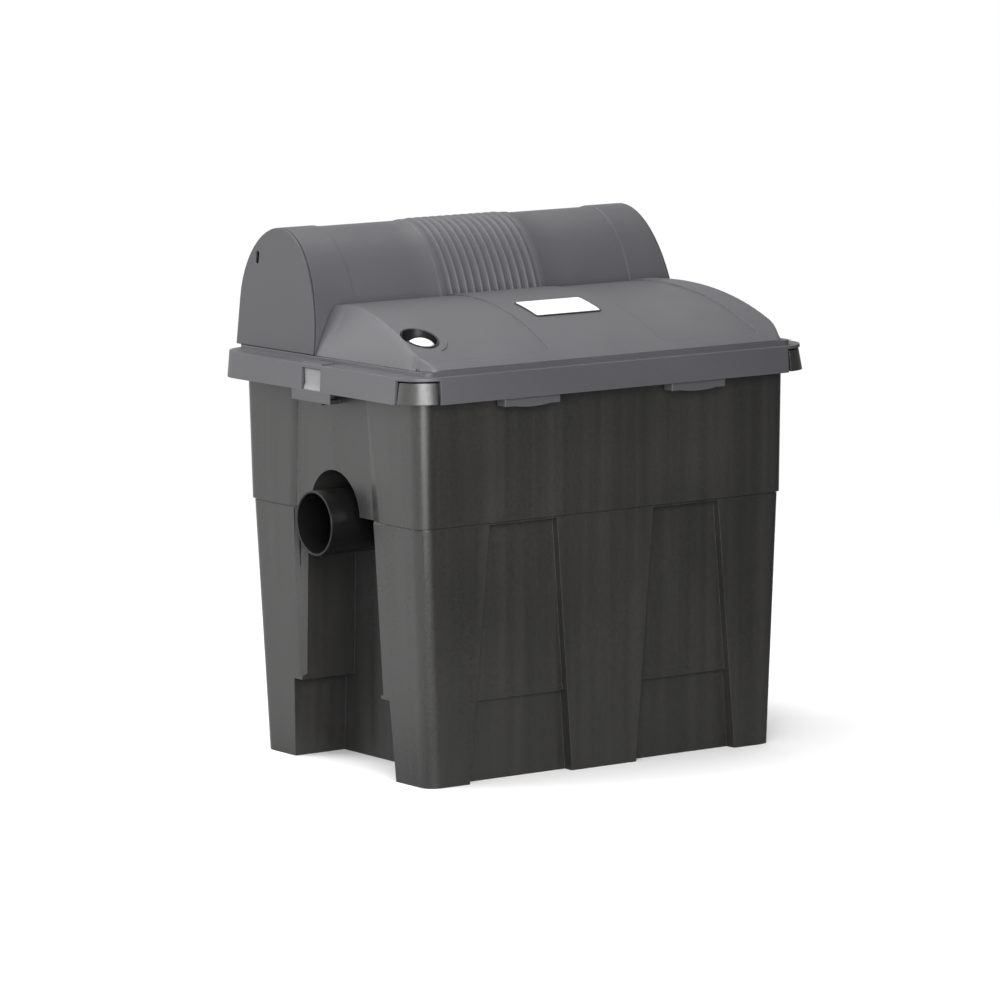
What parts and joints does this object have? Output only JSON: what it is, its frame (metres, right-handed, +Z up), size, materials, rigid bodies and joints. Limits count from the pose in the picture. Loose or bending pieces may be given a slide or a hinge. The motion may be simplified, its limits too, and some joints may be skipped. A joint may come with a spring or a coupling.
{
  "type": "pond filter",
  "caption": "Box-type flow-through pond filter: tapered tank with side recesses, lift-off lid with hinged ribbed dome and low hood, pipe outlet, stepped inlet tail and foam cartridges.",
  "frame": {"origin": "middle of the tank's foot, on the ground", "axes": "+X along the long side towards the inlet, +Y to the back where the dome is, +Z up"},
  "size_m": [0.38, 0.274, 0.4115],
  "materials": {
    "lid_grey": "fine-grained anthracite moulding",
    "tank_black": "semi-gloss dark moulding with faint vertical streaks",
    "pipe_black": "smooth black pipe",
    "rubber_black": "soft seal",
    "inner_grey": "plain moulded inner parts",
    "foam_blue": "open-cell coarse foam",
    "foam_red": "open-cell fine foam",
    "handle_blue": "moulded handle",
    "steel": "plain stainless",
    "label_white": "blank printed plate",
    "float_white": "smooth white moulding"
  },
  "bodies": {
    "tank_body": {"tank": "tank_black", "outlet_pipe": "pipe_black", "outlet_gasket": "rubber_black", "outlet_lock_ring": "inner_grey", "outlet_riser": "inner_grey", "inlet_bulkhead": "pipe_black", "inlet_gasket": "rubber_black", "inlet_lock_ring": "inner_grey", "inlet_hose_tail": "pipe_black", "inlet_o_ring": "rubber_black", "inlet_riser": "inner_grey", "drain_spigot": "pipe_black", "drain_gasket": "rubber_black", "drain_lock_ring": "inner_grey", "support_grate": "inner_grey", "partition_wall": "inner_grey", "distributor_tray": "inner_grey", "foam_coarse": "foam_blue", "foam_fine": "foam_red", "foam_block_left": "foam_blue", "foam_block_middle": "foam_blue", "foam_block_right": "foam_blue", "rim_seal": "rubber_black", "grip_tabs": "lid_grey"},
    "lid": {"lid_deck": "lid_grey", "front_hood": "lid_grey", "hood_screws": "steel", "label_plate": "label_white", "indicator_tube": "pipe_black", "dome_hinge_pins": "steel"},
    "dome": {"rear_dome": "lid_grey", "dome_end_cap_left": "lid_grey", "dome_end_cap_right": "lid_grey"},
    "float": {"indicator_float": "float_white"},
    "left_latch": {"latch_left": "lid_grey"},
    "right_latch": {"latch_right": "lid_grey"},
    "union_nut": {"inlet_union_nut": "inner_grey"},
    "drain_closure": {"drain_cap": "inner_grey", "drain_cap_seal": "rubber_black"},
    "cartridge_left": {"press_plate_left": "inner_grey", "pull_rod_left": "pipe_black", "pull_handle_left": "handle_blue"},
    "cartridge_middle": {"press_plate_middle": "inner_grey", "pull_rod_middle": "pipe_black", "pull_handle_middle": "handle_blue"},
    "cartridge_right": {"press_plate_right": "inner_grey", "pull_rod_right": "pipe_black", "pull_handle_right": "handle_blue"}
  },
  "joints": [
    {"name": "lid_lift", "type": "slide", "parent": "tank_body", "child": "lid", "axis": [0, 0, 1], "range_m": [0, 0.25]},
    {"name": "dome_open", "type": "hinge", "parent": "lid", "child": "dome", "pos_m": [0, 0.1334, 0.3202], "axis": [-1, 0, 0], "range_deg": [0, 95]},
    {"name": "float_rise", "type": "slide", "parent": "lid", "child": "float", "axis": [0, 0, 1], "range_m": [0, 0.008]},
    {"name": "left_latch_press", "type": "hinge", "parent": "tank_body", "child": "left_latch", "pos_m": [-0.186, 0, 0.2886], "axis": [0, 1, 0], "range_deg": [0, 8], "stiffness_Nm_per_rad": 0.6},
    {"name": "right_latch_press", "type": "hinge", "parent": "tank_body", "child": "right_latch", "pos_m": [0.186, 0, 0.2886], "axis": [0, -1, 0], "range_deg": [0, 8], "stiffness_Nm_per_rad": 0.6},
    {"name": "union_nut_turn", "type": "hinge", "parent": "tank_body", "child": "union_nut", "pos_m": [0.136, 0, 0.1925], "axis": [1, 0, 0], "continuous": true},
    {"name": "drain_cap_turn", "type": "hinge", "parent": "tank_body", "child": "drain_closure", "pos_m": [0.141, 0, 0.032], "axis": [1, 0, 0], "continuous": true},
    {"name": "pull_left", "type": "slide", "parent": "tank_body", "child": "cartridge_left", "axis": [0, 0, 1], "range_m": [0, 0.04], "deforming": ["foam_block_left"]},
    {"name": "pull_middle", "type": "slide", "parent": "tank_body", "child": "cartridge_middle", "axis": [0, 0, 1], "range_m": [0, 0.04], "deforming": ["foam_block_middle"]},
    {"name": "pull_right", "type": "slide", "parent": "tank_body", "child": "cartridge_right", "axis": [0, 0, 1], "range_m": [0, 0.04], "deforming": ["foam_block_right"]}
  ]
}
